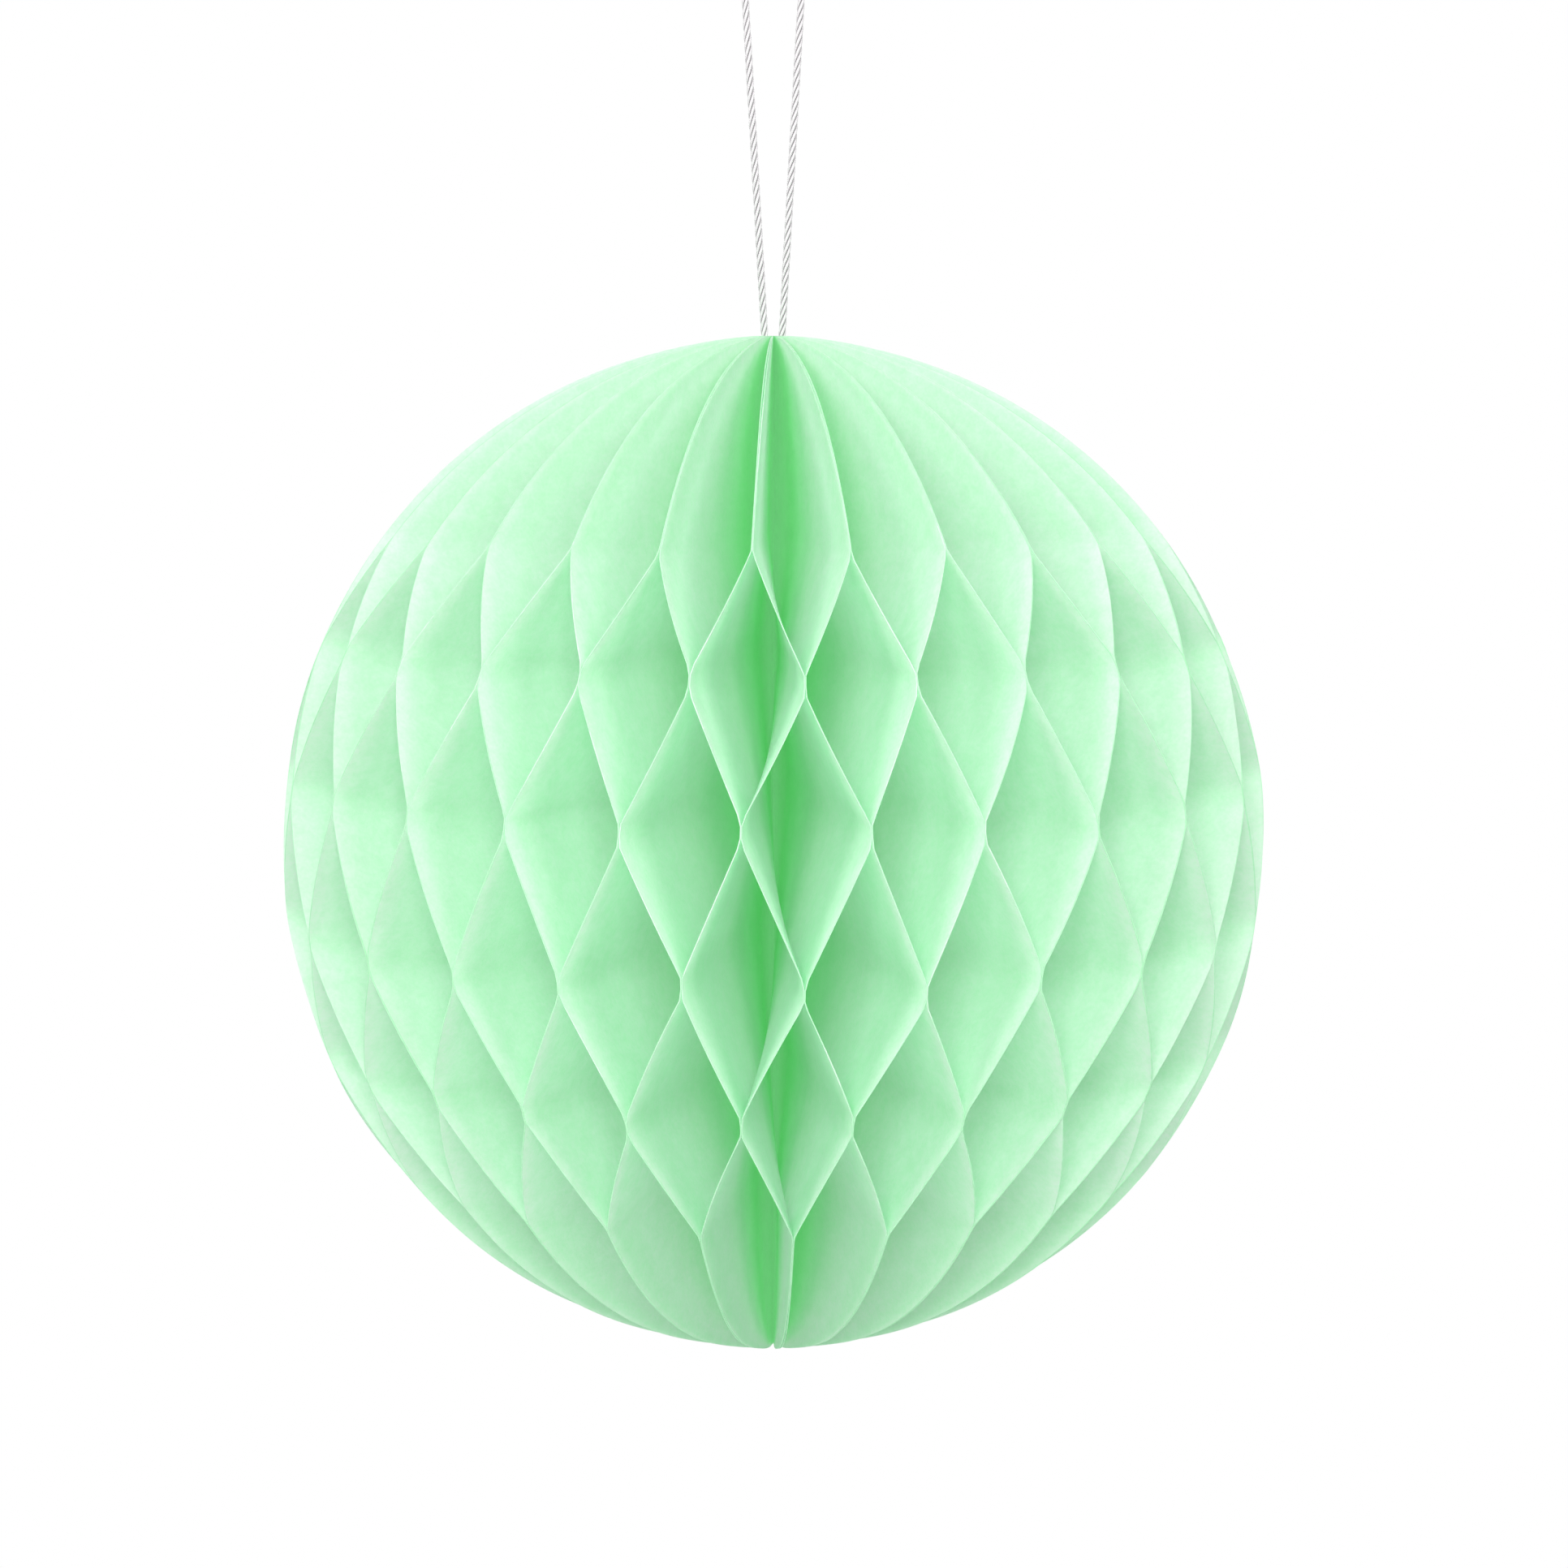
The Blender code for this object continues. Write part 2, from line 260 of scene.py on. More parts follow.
class Nodes:
    """Short calls for building one material's node tree."""

    def __init__(self, name):
        self.material = bpy.data.materials.new(name)
        self.material.use_nodes = True
        self.tree = self.material.node_tree
        self.shader = self.tree.nodes["Principled BSDF"]
        self.output = self.tree.nodes["Material Output"]

    def new(self, kind, **settings):
        node = self.tree.nodes.new(kind)
        for name, value in settings.items():
            setattr(node, name, value)
        return node

    def link(self, source, target):
        self.tree.links.new(source, target)

    def fill(self, socket, value):
        if isinstance(value, bpy.types.NodeSocket):
            self.link(value, socket)
        else:
            socket.default_value = value

    def maths(self, operation, *values):
        node = self.new("ShaderNodeMath", operation=operation)
        for socket, value in zip(node.inputs, values):
            self.fill(socket, value)
        return node.outputs[0]

    def noise(self, vector, scale, detail, roughness=0.5):
        node = self.new("ShaderNodeTexNoise")
        self.fill(node.inputs["Vector"], vector)
        node.inputs["Scale"].default_value = scale
        node.inputs["Detail"].default_value = detail
        node.inputs["Roughness"].default_value = roughness
        return node.outputs["Fac"]

    def ramp(self, factor, stops):
        node = self.new("ShaderNodeValToRGB")
        self.fill(node.inputs["Fac"], factor)
        elements = node.color_ramp.elements
        while len(elements) < len(stops):
            elements.new(0.5)
        for element, (position, colour) in zip(elements, stops):
            element.position = position
            element.color = (*colour, 1)
        return node.outputs["Color"]

    def mix(self, blend, factor, first, second):
        node = self.new("ShaderNodeMix", data_type="RGBA", blend_type=blend)
        self.fill(node.inputs["Factor"], factor)
        colour_inputs = [socket for socket in node.inputs if socket.type == "RGBA"]
        for socket, value in zip(colour_inputs, (first, second)):
            if isinstance(value, tuple):
                value = (*value, 1)
            self.fill(socket, value)
        return next(socket for socket in node.outputs if socket.type == "RGBA")

    def bump(self, height, strength, distance):
        node = self.new("ShaderNodeBump")
        self.fill(node.inputs["Height"], height)
        node.inputs["Strength"].default_value = strength
        node.inputs["Distance"].default_value = distance
        return node.outputs["Normal"]

    def show_mixed(self, factor, first, second):
        """Make the surface a mix of two shaders."""
        both = self.new("ShaderNodeMixShader")
        self.fill(both.inputs[0], factor)
        self.link(first, both.inputs[1])
        self.link(second, both.inputs[2])
        self.link(both.outputs[0], self.output.inputs["Surface"])


# ---------------------------------------------------------------- materials


def paper_inward(nodes, uv):
    """Millimetres in from the rim, on the scale of the widest level, and made deeper towards the poles,
    which carries the painted shade and glow of the spine out towards them.
    """
    parts = nodes.new("ShaderNodeSeparateXYZ")
    nodes.link(uv, parts.inputs[0])
    up = nodes.maths("DIVIDE", parts.outputs["Y"], HALF_HEIGHT / MM)
    up_squared = nodes.maths("MULTIPLY", up, up)
    narrowing = nodes.maths("SQRT", nodes.maths("SUBTRACT", 1.0, up_squared))
    reach = nodes.maths("MULTIPLY", narrowing, HALF_WIDTH / MM)
    share = nodes.maths("SUBTRACT", 1.0, nodes.maths("DIVIDE", parts.outputs["X"], reach))
    pole_shade_gain = nodes.maths("ADD", 1.0, nodes.maths("MULTIPLY", POLE_SHADE_DEEPENING, up_squared))
    return nodes.maths("MULTIPLY", share, nodes.maths("MULTIPLY", pole_shade_gain, HALF_WIDTH / MM))


def paper_grain(nodes, uv):
    """A cloudy, fibrous height that differs from sheet to sheet."""
    per_sheet = nodes.new("ShaderNodeObjectInfo").outputs["Random"]
    place = nodes.new("ShaderNodeCombineXYZ")
    nodes.link(nodes.maths("MULTIPLY", per_sheet, SHEET_GRAIN_SPACING), place.inputs["Z"])
    shifted = nodes.new("ShaderNodeVectorMath", operation="ADD")
    nodes.link(uv, shifted.inputs[0])
    nodes.link(place.outputs[0], shifted.inputs[1])
    fine = nodes.noise(shifted.outputs[0], FINE_GRAIN, GRAIN_DETAIL, FINE_GRAIN_ROUGHNESS)
    broad = nodes.noise(shifted.outputs[0], BROAD_GRAIN, GRAIN_DETAIL)
    return nodes.maths("ADD", nodes.maths("MULTIPLY", fine, FINE_GRAIN_WEIGHT), broad)


def grained(nodes, colour, grain):
    """A colour that the grain darkens."""
    spread = nodes.new("ShaderNodeMapRange")
    nodes.link(grain, spread.inputs["Value"])
    spread.inputs["From Min"].default_value = GRAIN_RANGE[0]
    spread.inputs["From Max"].default_value = GRAIN_RANGE[1]
    return nodes.mix("MULTIPLY", spread.outputs[0], colour, GRAIN_TINT)


def paper_material():
    """Thin matt mint paper with painted light and shade: painted lighter at its cut rim and painted darker
    towards the spine, with a painted glow and a fine fibrous grain.
    """
    nodes = Nodes("mint_paper")
    uv = nodes.new("ShaderNodeUVMap", uv_map="paper").outputs["UV"]
    inward = paper_inward(nodes, uv)
    depth = nodes.maths("DIVIDE", inward, PAPER_REACH_MM)
    # the paper's colour with painted light at the rim and painted shade deeper in
    body = nodes.ramp(depth, [(stop / PAPER_REACH_MM, own) for stop, own, _ in PAPER_PAINTED_LIGHT_STOPS])
    # a painted glow: emission that stands in for light passed on between the sheets
    painted_glow_colour = nodes.ramp(depth, [(stop / PAPER_REACH_MM, painted_glow) for stop, _, painted_glow in PAPER_PAINTED_LIGHT_STOPS])
    at_edge = nodes.maths("LESS_THAN", inward, EDGE_WIDTH_MM)
    grain = paper_grain(nodes, uv)
    colour = grained(nodes, nodes.mix("MIX", at_edge, body, EDGE_COLOUR), grain)
    nodes.link(colour, nodes.shader.inputs["Base Color"])
    nodes.shader.inputs["Roughness"].default_value = PAPER_ROUGHNESS
    nodes.shader.inputs["Specular IOR Level"].default_value = PAPER_SPECULAR
    nodes.link(nodes.bump(grain, GRAIN_BUMP, GRAIN_HEIGHT), nodes.shader.inputs["Normal"])
    # the paper glows with this painted glow, though it is no lamp
    nodes.link(painted_glow_colour, nodes.shader.inputs["Emission Color"])
    nodes.shader.inputs["Emission Strength"].default_value = 1.0
    translucent = nodes.new("ShaderNodeBsdfTranslucent")
    nodes.link(colour, translucent.inputs["Color"])
    nodes.show_mixed(TRANSLUCENCY, nodes.shader.outputs[0], translucent.outputs[0])
    return nodes.material


def plain_material(name, colour, roughness, mottle_grain, mottle_height):
    """A matt material with a fine mottle in colour and height."""
    nodes = Nodes(name)
    coordinates = nodes.new("ShaderNodeTexCoord").outputs["Object"]
    mottle = nodes.noise(coordinates, mottle_grain, MOTTLE_DETAIL)
    darkest = tuple(channel * MOTTLE_DARKEST for channel in colour)
    nodes.link(nodes.mix("MIX", mottle, darkest, colour), nodes.shader.inputs["Base Color"])
    nodes.shader.inputs["Roughness"].default_value = roughness
    nodes.link(nodes.bump(mottle, MOTTLE_BUMP, mottle_height), nodes.shader.inputs["Normal"])
    return nodes.material


def cord_material():
    """White twisted cotton with painted shade: its own pale tone on the plies' crests, painted grey shade
    in the grooves, with fine fibres.
    """
    nodes = Nodes("white_cord")
    groove = nodes.new("ShaderNodeAttribute", attribute_name="groove").outputs["Fac"]
    painted_groove_shade = nodes.ramp(groove, CORD_GROOVE_SHADE_TONES)
    coordinates = nodes.new("ShaderNodeTexCoord").outputs["Object"]
    fibre = nodes.noise(coordinates, FIBRE_GRAIN, GRAIN_DETAIL)
    value = nodes.maths("ADD", nodes.maths("MULTIPLY", fibre, FIBRE_CONTRAST), FIBRE_DARKEST)
    nodes.link(nodes.mix("MULTIPLY", 1.0, painted_groove_shade, value), nodes.shader.inputs["Base Color"])
    nodes.shader.inputs["Roughness"].default_value = CORD_ROUGHNESS
    nodes.shader.inputs["Specular IOR Level"].default_value = CORD_SPECULAR
    nodes.link(nodes.bump(fibre, FIBRE_BUMP, FIBRE_HEIGHT), nodes.shader.inputs["Normal"])
    return nodes.material


def floor_material():
    """Pale and matt under the ball, fading to plain white at the disc's rim."""
    nodes = Nodes("floor")
    nodes.shader.inputs["Base Color"].default_value = FLOOR_COLOUR
    nodes.shader.inputs["Roughness"].default_value = FLOOR_ROUGHNESS
    nodes.shader.inputs["Specular IOR Level"].default_value = 0.0
    distance = nodes.new("ShaderNodeVectorMath", operation="LENGTH")
    nodes.link(nodes.new("ShaderNodeTexCoord").outputs["Object"], distance.inputs[0])
    fade = nodes.new("ShaderNodeMapRange", interpolation_type="SMOOTHSTEP")
    nodes.link(distance.outputs["Value"], fade.inputs["Value"])
    fade.inputs["From Min"].default_value = FLOOR_FADE_START
    fade.inputs["From Max"].default_value = FLOOR_RADIUS
    white = nodes.new("ShaderNodeEmission")
    nodes.show_mixed(fade.outputs[0], nodes.shader.outputs[0], white.outputs[0])
    return nodes.material


# ---------------------------------------------------------------- camera, light and floor


def add_camera():
    azimuth = math.radians(CAMERA_AZIMUTH_DEG)
    elevation = math.radians(CAMERA_ELEVATION_DEG)
    level = math.cos(elevation)
    back = Vector((math.sin(azimuth) * level, -math.cos(azimuth) * level, math.sin(elevation)))
    right = Vector((math.cos(azimuth), math.sin(azimuth), 0))
    up = back.cross(right)
    data = bpy.data.cameras.new("camera")
    data.lens = CAMERA_LENS_MM
    data.sensor_width = CAMERA_SENSOR_MM
    data.clip_start = CAMERA_CLIP_START
    camera = link_object("camera", data)
    camera.location = CENTRE + back * CAMERA_DISTANCE
    aim = CENTRE + right * CAMERA_AIM_RIGHT + up * CAMERA_AIM_UP
    camera.rotation_euler = (aim - camera.location).to_track_quat("-Z", "Y").to_euler()
    bpy.context.scene.camera = camera


def add_soft_box(name, offset, power):
    """A square light at an offset from the ball's centre, facing it."""
    data = bpy.data.lights.new(name, "AREA")
    data.size = LIGHT_SIZE
    data.energy = power
    light = link_object(name, data)
    light.location = CENTRE + Vector(offset)
    light.rotation_euler = (-Vector(offset)).to_track_quat("-Z", "Y").to_euler()


def add_world():
    """Seen as plain white, while it lights the ball more dimly than that."""
    world = bpy.data.worlds.new("studio")
    world.use_nodes = True
    tree = world.node_tree
    seen = tree.nodes["Background"]
    seen.inputs["Color"].default_value = WHITE
    lighting = tree.nodes.new("ShaderNodeBackground")
    lighting.inputs["Color"].default_value = WHITE
    lighting.inputs["Strength"].default_value = AMBIENT
    ray = tree.nodes.new("ShaderNodeLightPath")
    both = tree.nodes.new("ShaderNodeMixShader")
    tree.links.new(ray.outputs["Is Camera Ray"], both.inputs[0])
    tree.links.new(lighting.outputs[0], both.inputs[1])
    tree.links.new(seen.outputs[0], both.inputs[2])
    tree.links.new(both.outputs[0], tree.nodes["World Output"].inputs["Surface"])
    bpy.context.scene.world = world


def add_floor():
    bm = bmesh.new()
    bmesh.ops.create_circle(bm, cap_ends=True, segments=FLOOR_SIDES, radius=FLOOR_RADIUS)
    mesh = bpy.data.meshes.new("floor")
    bm.to_mesh(mesh)
    bm.free()
    mesh.materials.append(floor_material())
    floor = link_object("floor", mesh)
    floor.location.z = CENTRE_Z - FLOOR_DROP


def add_studio():
    add_camera()
    add_world()
    for name, offset, power in LIGHTS:
        add_soft_box(name, offset, power)
    add_floor()
    scene = bpy.context.scene
    scene.view_settings.view_transform = "Standard"
    scene.cycles.max_bounces = MOST_BOUNCES
    scene.cycles.diffuse_bounces = MOST_SHEETS_PASSED
    scene.cycles.transmission_bounces = MOST_SHEETS_PASSED


# ---------------------------------------------------------------- paper sheets


def node_angle(node):
    """A node's angle in radians from +Y, anticlockwise seen from above."""
    even = 2 * math.pi / SHEET_COUNT * node
    return even - math.radians(SIDE_SPREAD_DEG) * math.sin(2 * even)


def seam_shift(node):
    return SEAM_SHIFT * (1 - 2 * node / SHEET_COUNT)


def row_lean(sheet, row):
    """1 where the row is glued to the next node, -1 where it is glued to the last one."""
    return 1 if row % 2 == sheet % 2 else -1


def scatter(shape, deviation):
    """Small seeded departures, none beyond two deviations."""
    return np.clip(random.normal(0, deviation, shape), -2 * deviation, 2 * deviation)


ROW_DRIFT = scatter((SHEET_COUNT + 1, len(ROW_HEIGHTS)), ROW_SCATTER)
ANGLE_DRIFT = scatter((SHEET_COUNT + 1, len(DRIFT_HEIGHTS)), math.radians(ANGLE_SCATTER_DEG))
# free to stray at the front, held straight by the flat covers at the seam
FREEDOM = np.sin(np.linspace(0, math.pi, SHEET_COUNT + 1))
ANGLE_DRIFT = FREEDOM[:, None] * (ANGLE_DRIFT + np.radians(TWIST_DEG))
RIM_DRIFT = scatter((SHEET_COUNT + 1, RIM_DRIFT_COUNT), RIM_SCATTER)


def contact_heights(sheet):
    heights = []
    for row, height in enumerate(ROW_HEIGHTS):
        node = sheet if row_lean(sheet, row) > 0 else sheet - 1
        heights.append(height + ROW_DRIFT[node, row])
    return np.array(heights)


def smooth_step(share):
    share = np.clip(share, 0, 1)
    return share * share * (3 - 2 * share)


def lean_profile(sheet, heights):
    """How far a sheet leans at each height: straight runs between glued flats, with soft bends."""
    contacts = contact_heights(sheet)
    knots = np.stack((contacts - CONTACT_HALF, contacts + CONTACT_HALF), 1).ravel()
    leans = np.repeat([row_lean(sheet, row) for row in range(len(ROW_HEIGHTS))], 2)
    offsets = np.linspace(-1, 1, BEND_SAMPLES)
    weights = 1 + np.cos(math.pi * offsets)
    samples = [np.interp(heights + offset * BEND_HALF, knots, leans) for offset in offsets]
    to_pole = smooth_step((np.abs(heights) - POLE_OPENING_FROM) / (HALF_HEIGHT - POLE_OPENING_FROM))
    return np.average(samples, axis=0, weights=weights) * (1 - POLE_OPENING * to_pole)


def spine_radius(sheet, heights):
    """The sheets' inner edge: close to the axis, and round the cord's two strands at the top."""
    widened = smooth_step((heights - CORD_HOLE_BOTTOM) / (CORD_HOLE_TOP - CORD_HOLE_BOTTOM))
    angle = (node_angle(sheet - 1) + node_angle(sheet)) / 2
    hole = 1 / math.hypot(math.sin(angle) / CORD_HOLE_ACROSS, math.cos(angle) / CORD_HOLE_DEEP)
    return SPINE_RADIUS + (hole - SPINE_RADIUS) * widened


def sheet_heights():
    tip = math.acos((CORD_HOLE_ACROSS + TIP_WIDTH) / HALF_WIDTH)
    return HALF_HEIGHT * np.sin(np.linspace(-tip, tip, LEVELS))


def rim_outline(sheet, heights):
    """How far out the sheet's rim is at each height, with its own slight waviness."""
    outline = HALF_WIDTH * np.sqrt(1 - (heights / HALF_HEIGHT) ** 2)
    drift_at = np.linspace(-HALF_HEIGHT, HALF_HEIGHT, RIM_DRIFT_COUNT)
    return outline + np.interp(heights, drift_at, RIM_DRIFT[sheet]) * outline / HALF_WIDTH


def glued_place(node, side, heights, radii, half_pair):
    """Where a sheet's points lie if it is glued at a node all the way up, on one side of the node."""
    angle = node_angle(node) + np.interp(heights, DRIFT_HEIGHTS, ANGLE_DRIFT[node])[:, None]
    push = seam_shift(node) - side * half_pair
    x = -np.sin(angle) * radii - np.cos(angle) * push
    y = np.cos(angle) * radii - np.sin(angle) * push
    return np.stack((x, y), -1)


def pole_rise(heights, radii):
    """How far points near the axis are drawn out past the bottom and the top."""
    rise = np.where(heights < 0, -BOTTOM_RISE, TOP_RISE) * (heights / HALF_HEIGHT) ** POLE_SHARPNESS
    return rise[:, None] * np.exp(-((radii / POLE_RADIUS) ** 2))


def sheet_grid(sheet, heights):
    """Points of a sheet by side, level and step inward, and how far out from the axis each one is."""
    outline = rim_outline(sheet, heights)
    inner = spine_radius(sheet, heights)
    steps = 1 - np.array([*RIM_STEPS_MM, HALF_WIDTH / MM]) / (HALF_WIDTH / MM)
    radii = inner[:, None] + (outline - inner)[:, None] * steps[None, :]
    thickness = np.interp(radii, (SPINE_RADIUS, FULL_THICKNESS_FROM), (SPINE_THICKNESS, PAPER_THICKNESS))
    half_pair = (thickness + PAIR_GAP) / 2
    last = glued_place(sheet - 1, -1, heights, radii, half_pair)
    onward = glued_place(sheet, 1, heights, radii, half_pair)
    share = ((lean_profile(sheet, heights) + 1) / 2)[:, None, None]
    flat = last * (1 - share) + onward * share
    up = heights[:, None] + pole_rise(heights, radii)
    middle = np.concatenate((flat, up[..., None]), -1)
    normal = np.cross(np.gradient(middle, axis=1), np.gradient(middle, axis=0))
    normal /= np.linalg.norm(normal, axis=-1, keepdims=True)
    half = normal * thickness[..., None] / 2
    return np.stack((middle - half, middle + half)), radii


def grid_faces(levels, steps):
    """Quads of a closed sheet whose points are numbered (side, level, step)."""
    index = np.arange(2 * levels * steps).reshape(2, levels, steps)
    faces = []
    for side, order in ((0, (0, 1, 2, 3)), (1, (3, 2, 1, 0))):
        face = index[side]
        corners = (face[:-1, :-1], face[1:, :-1], face[1:, 1:], face[:-1, 1:])
        faces.append(np.stack([corners[corner] for corner in order], -1).reshape(-1, 4))
    for step, order in ((0, (0, 1, 2, 3)), (steps - 1, (3, 2, 1, 0))):
        corners = (index[0, :-1, step], index[1, :-1, step], index[1, 1:, step], index[0, 1:, step])
        faces.append(np.stack([corners[corner] for corner in order], -1))
    for level, order in ((0, (3, 2, 1, 0)), (levels - 1, (0, 1, 2, 3))):
        corners = (index[0, level, :-1], index[1, level, :-1], index[1, level, 1:], index[0, level, 1:])
        faces.append(np.stack([corners[corner] for corner in order], -1))
    return np.concatenate(faces)


def add_sheet_mesh(name, points, faces, material):
    mesh = bpy.data.meshes.new(name)
    mesh.from_pydata(points.tolist(), [], faces.tolist())
    mesh.materials.append(material)
    mesh.shade_smooth()
    mesh.set_sharp_from_angle(angle=math.radians(SHEET_SHARP_DEG))
    return link_object(name, mesh)


def set_paper_uv(obj, radii, heights):
    """A UV map in millimetres across the sheet and up it, the same on both sides."""
    place = np.stack((radii, np.broadcast_to(heights[:, None], radii.shape)), -1).reshape(-1, 2) / MM
    place = np.tile(place, (2, 1))
    corners = np.zeros(len(obj.data.loops), np.int32)
    obj.data.loops.foreach_get("vertex_index", corners)
    layer = obj.data.uv_layers.new(name="paper")
    layer.data.foreach_set("uv", place[corners].astype(np.float32).ravel())


def add_sheet(sheet, material):
    """One bent half-disc."""
    heights = sheet_heights()
    points, radii = sheet_grid(sheet, heights)
    faces = grid_faces(*radii.shape)
    points[..., 2] += CENTRE_Z
    obj = add_sheet_mesh(f"paper_{sheet:02d}", points.reshape(-1, 3), faces, material)
    set_paper_uv(obj, radii, heights)
    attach(obj, f"sheet_{sheet:02d}")
    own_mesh(obj)
    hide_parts(f"paper_sheet_{sheet:02d}")


# ---------------------------------------------------------------- cord


def smooth_curve(points, smoothing):
    """Catmull-Rom points through a route."""
    ends = [points[0] * 2 - points[1], *points, points[-1] * 2 - points[-2]]
    curve = []
    for before, start, end, after in zip(ends, ends[1:], ends[2:], ends[3:]):
        for step in range(smoothing):
            t = step / smoothing
            cubic = (after - before + (start - end) * 3) * t**3
            square = (before * 2 - start * 5 + end * 4 - after) * t**2
            curve.append(start + (cubic + square + (end - before) * t) / 2)
    return np.array([*curve, points[-1]])


def evenly_spaced(curve, spacing):
    lengths = np.concatenate(([0], np.cumsum(np.linalg.norm(np.diff(curve, axis=0), axis=1))))
    count = round(lengths[-1] / spacing)
    places = np.linspace(0, lengths[-1], count + 1)
    return np.stack([np.interp(places, lengths, curve[:, axis]) for axis in range(3)], -1), lengths[-1]


def frames_along(path):
    """Two directions square to a path at each point, turned as little as can be from one to the next."""
    tangents = np.gradient(path, axis=0)
    tangents /= np.linalg.norm(tangents, axis=1, keepdims=True)
    side = np.cross(tangents[0], ASIDE)
    sides = []
    for tangent in tangents:
        side = side - tangent * (side @ tangent)
        side /= np.linalg.norm(side)
        sides.append(side)
    sides = np.array(sides)
    return sides, np.cross(tangents, sides)


def tube(path, radius, sides_count, first_index):
    """Points and faces of a closed round tube along a path."""
    sides, ups = frames_along(path)
    angles = np.arange(sides_count) * 2 * math.pi / sides_count
    rings = path[:, None] + radius * (
        sides[:, None] * np.cos(angles)[None, :, None] + ups[:, None] * np.sin(angles)[None, :, None]
    )
    points = np.concatenate((rings.reshape(-1, 3), path[:1], path[-1:]))
    count = len(path)
    faces = []
    for ring in range(count - 1):
        for corner in range(sides_count):
            after = (corner + 1) % sides_count
            low, high = ring * sides_count, (ring + 1) * sides_count
            faces.append((low + corner, low + after, high + after, high + corner))
    start, end = count * sides_count, count * sides_count + 1
    last = (count - 1) * sides_count
    for corner in range(sides_count):
        after = (corner + 1) % sides_count
        faces.append((start, after, corner))
        faces.append((end, last + corner, last + after))
    return points, [tuple(index + first_index for index in face) for face in faces]


def twisted_rope(name, path, length, material, diameter, pitch, plies, sides_count):
    """Plies wound round one another along a path, in one mesh that knows how deep in it each point is."""
    ply_radius = diameter / 2 / (1 + 1 / math.sin(math.pi / plies))
    wind_radius = diameter / 2 - ply_radius
    sides, ups = frames_along(path)
    turn = np.linspace(0, length / pitch, len(path)) * 2 * math.pi
    middle = np.concatenate((np.repeat(path, sides_count, axis=0), path[:1], path[-1:]))
    points, faces, depths = [], [], []
    for ply in range(plies):
        angle = turn + 2 * math.pi * ply / plies
        ply_path = path + wind_radius * (sides * np.cos(angle)[:, None] + ups * np.sin(angle)[:, None])
        ply_points, ply_faces = tube(ply_path, ply_radius * PLY_OVERLAP, sides_count, ply * len(middle))
        points.append(ply_points)
        faces.extend(ply_faces)
        depths.append(1 - np.linalg.norm(ply_points - middle, axis=1) / (diameter / 2))
    mesh = bpy.data.meshes.new(name)
    mesh.from_pydata(np.concatenate(points).tolist(), [], faces)
    mesh.materials.append(material)
    mesh.shade_smooth()
    # how deep each point lies in the rope, from which the cord's material paints shade in the grooves
    groove = mesh.attributes.new("groove", "FLOAT", "POINT")
    groove.data.foreach_set("value", np.concatenate(depths).astype(np.float32))
    return link_object(name, mesh)


def add_hanging_cord(material):
    rising = [Vector((across, 0, up)) for across, up in CORD_ROUTE]
    falling = [Vector((-across, 0, up)) for across, up in reversed(CORD_ROUTE[:-1])]
    curve = smooth_curve(rising + falling, CORD_SMOOTHING)
    path, length = evenly_spaced(curve, CORD_STEP)
    cord = twisted_rope("twisted_cord", path, length, material, **CORD_TWIST)
    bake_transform(cord)
    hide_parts("hanging_cord")


def add_cord_knot(material):
    """An overhand knot, drawn tight and flat between the sheets: one closed trefoil turn of the cord."""
    turn = np.linspace(0, 2 * math.pi, KNOT_STEPS)
    across = KNOT_LOOP * (np.sin(turn) + 2 * np.sin(2 * turn))
    deep = KNOT_LOOP * KNOT_FLATNESS * (np.cos(turn) - 2 * np.cos(2 * turn))
    path = np.stack((across, deep, KNOT_CENTRE_Z - KNOT_RISE * np.sin(3 * turn)), -1)
    length = np.linalg.norm(np.diff(path, axis=0), axis=1).sum()
    knot = twisted_rope("tight_knot", path, length, material, **CORD_TWIST)
    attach(knot, "ball")
    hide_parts("cord_knot")


# ---------------------------------------------------------------- binding thread and covers


def add_binding_thread(material):
    heights = np.arange(THREAD_BOTTOM, THREAD_TOP, CORD_STEP * 2)
    path = np.stack((np.zeros_like(heights), np.zeros_like(heights), CENTRE_Z + heights), -1)
    thread = twisted_rope("spine_thread", path, THREAD_TOP - THREAD_BOTTOM, material, **THREAD_TWIST)
    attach(thread, "ball")
    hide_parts("binding_thread")


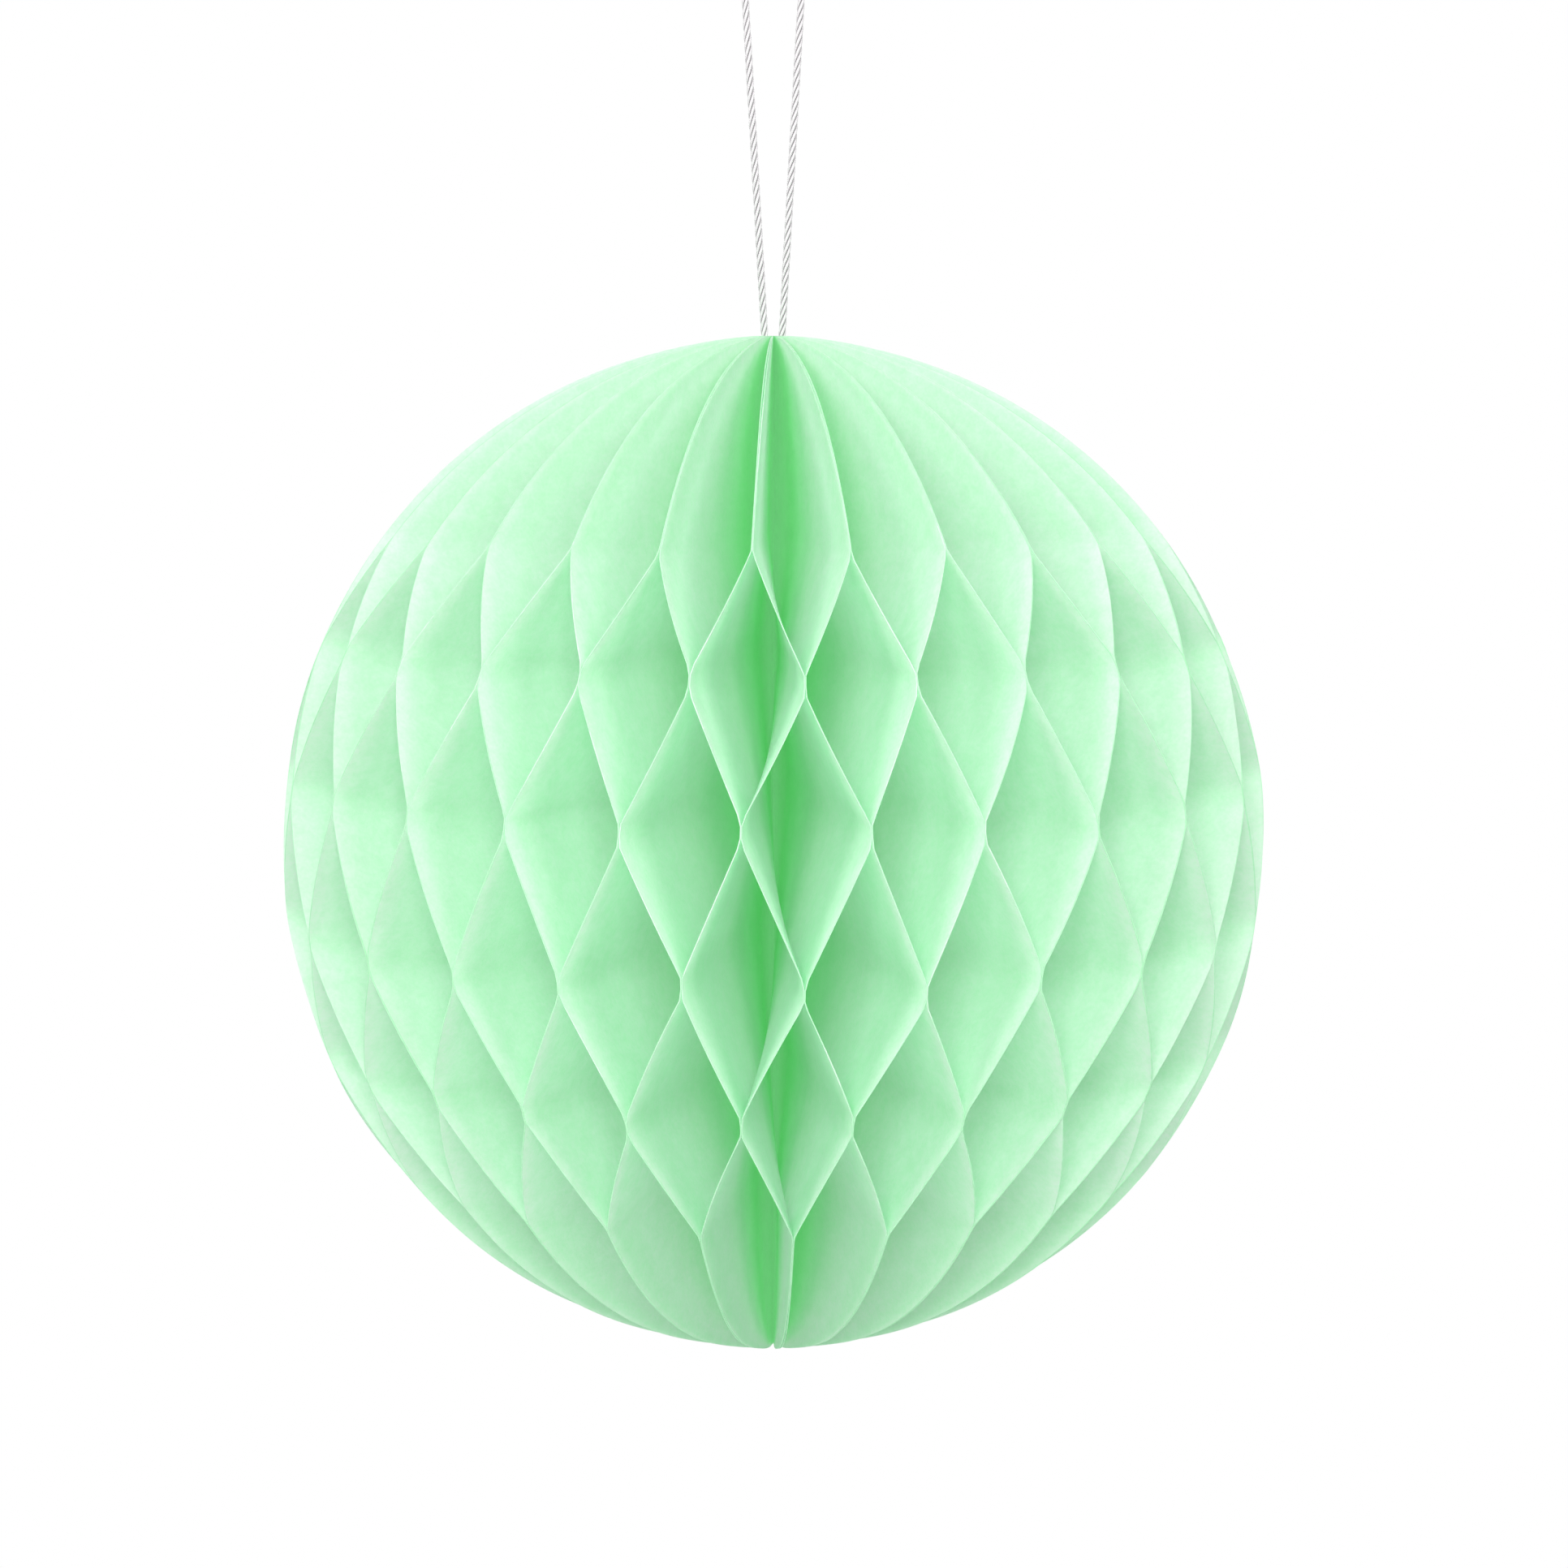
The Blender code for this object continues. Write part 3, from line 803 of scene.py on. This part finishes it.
def card_outline():
    """The half-ellipse of a cover, cut straight a little way off the spine."""
    width = HALF_WIDTH - CARD_INSET
    height = HALF_HEIGHT - CARD_INSET
    corner = math.acos(CARD_START / width)
    latitudes = np.linspace(-corner, corner, CARD_ARC_STEPS + 1)
    return np.stack((width * np.cos(latitudes), height * np.sin(latitudes)), -1)


def add_card(name, start, body, material):
    """A thin flat cover with slightly rounded edges, from start to its own thickness further along X."""
    bm = bmesh.new()
    corners = [bm.verts.new((start, across, CENTRE_Z + up)) for across, up in card_outline()]
    face = bm.faces.new(corners)
    extruded = bmesh.ops.extrude_face_region(bm, geom=[face])
    moved = [item for item in extruded["geom"] if isinstance(item, bmesh.types.BMVert)]
    bmesh.ops.translate(bm, vec=(CARD_THICKNESS, 0, 0), verts=moved)
    bmesh.ops.recalc_face_normals(bm, faces=bm.faces)
    rims = [edge for edge in bm.edges if abs(edge.verts[0].co.x - edge.verts[1].co.x) < CARD_BEVEL]
    rounding = dict(segments=CARD_BEVEL_SEGMENTS, profile=ROUND_PROFILE, affect="EDGES")
    bmesh.ops.bevel(bm, geom=rims, offset=CARD_BEVEL, **rounding)
    mesh = bpy.data.meshes.new(name)
    bm.to_mesh(mesh)
    bm.free()
    mesh.materials.append(material)
    mesh.shade_smooth()
    mesh.set_sharp_from_angle(angle=math.radians(CARD_SHARP_DEG))
    card = link_object(name, mesh)
    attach(card, body)
    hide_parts(f"cover_{name}")


# ---------------------------------------------------------------- building


def build():
    add_studio()
    cotton = cord_material()
    add_hanging_cord(cotton)
    add_cord_knot(cotton)
    paper = paper_material()
    for sheet in range(1, SHEET_COUNT + 1):
        add_sheet(sheet, paper)
    card = plain_material("cover_card", *COVER_CARD)
    add_card("card_fixed", -CARD_FACE, "ball", card)
    add_card("card_swinging", CARD_FACE - CARD_THICKNESS, "swinging_cover", card)
    add_binding_thread(plain_material("thread", *MINT_THREAD))
    film = plain_material("adhesive_film", *ADHESIVE_FILM)
    for name in ("adhesive_strip_upper", "adhesive_strip_lower"):
        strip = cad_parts[name]
        strip.data.materials.clear()
        strip.data.materials.append(film)


build()
